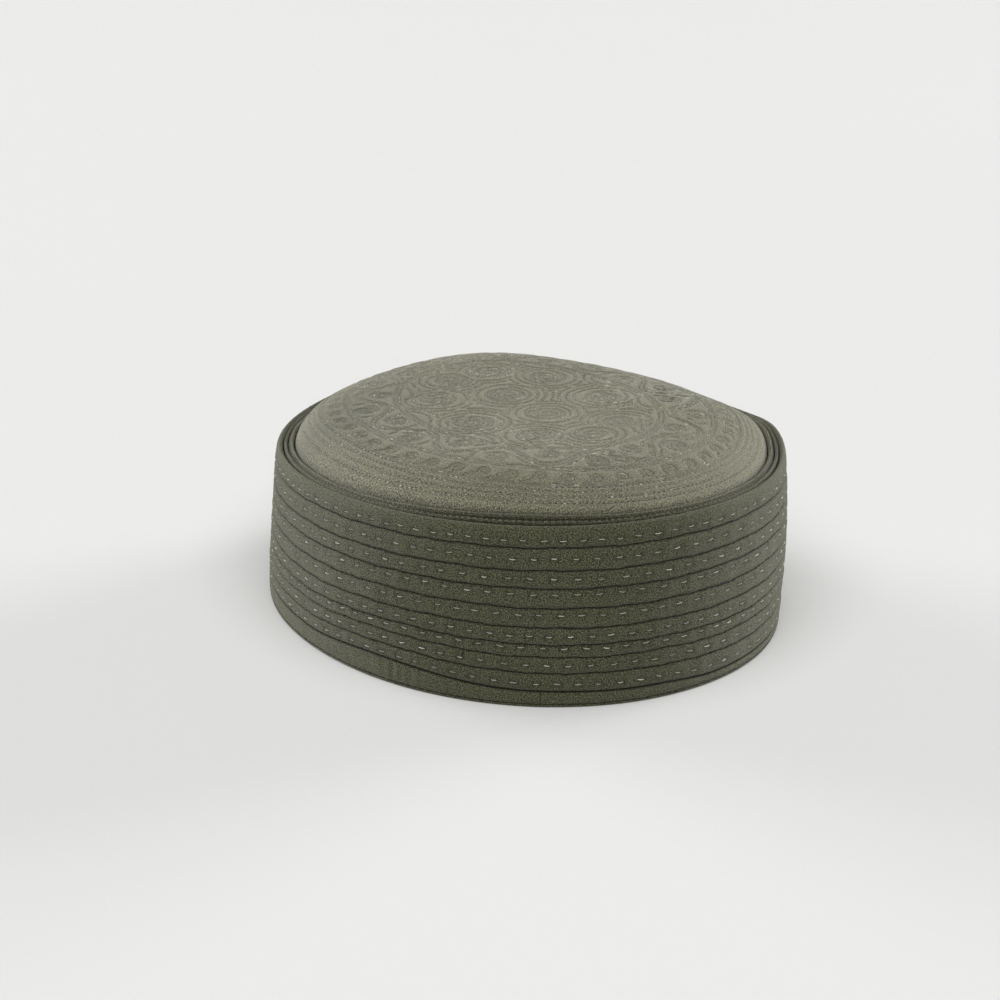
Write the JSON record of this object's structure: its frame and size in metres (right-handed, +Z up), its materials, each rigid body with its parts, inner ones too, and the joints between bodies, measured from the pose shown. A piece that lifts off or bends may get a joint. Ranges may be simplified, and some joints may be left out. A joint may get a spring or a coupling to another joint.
{
  "type": "kufi",
  "caption": "Low brimless kufi cap on an oval plan: a puffed embroidered top, a piped rim and a quilted wall with running stitches, on a folded hem, open below for the head.",
  "frame": {"origin": "on the surface that the cap stands on, under the middle of its bounding box", "axes": "+X across the cap, +Y along its length with the joined end of the hem towards -Y, +Z up"},
  "size_m": [0.1726, 0.198, 0.0712],
  "materials": {
    "quilted_cloth": "olive grey woven cotton, quilted in rows, matt",
    "hem_cloth": "olive grey woven cotton, folded and stitched, matt",
    "embroidered_cloth": "olive grey woven cotton with scrolls embroidered tone on tone, matt",
    "piping_cloth": "olive grey woven cotton, rolled over a cord, matt"
  },
  "bodies": {
    "root": {"side_band": "quilted_cloth", "bottom_hem": "hem_cloth", "crown_top": "embroidered_cloth", "rim_ridge": "piping_cloth", "rim_piping": "piping_cloth"}
  },
  "joints": []
}
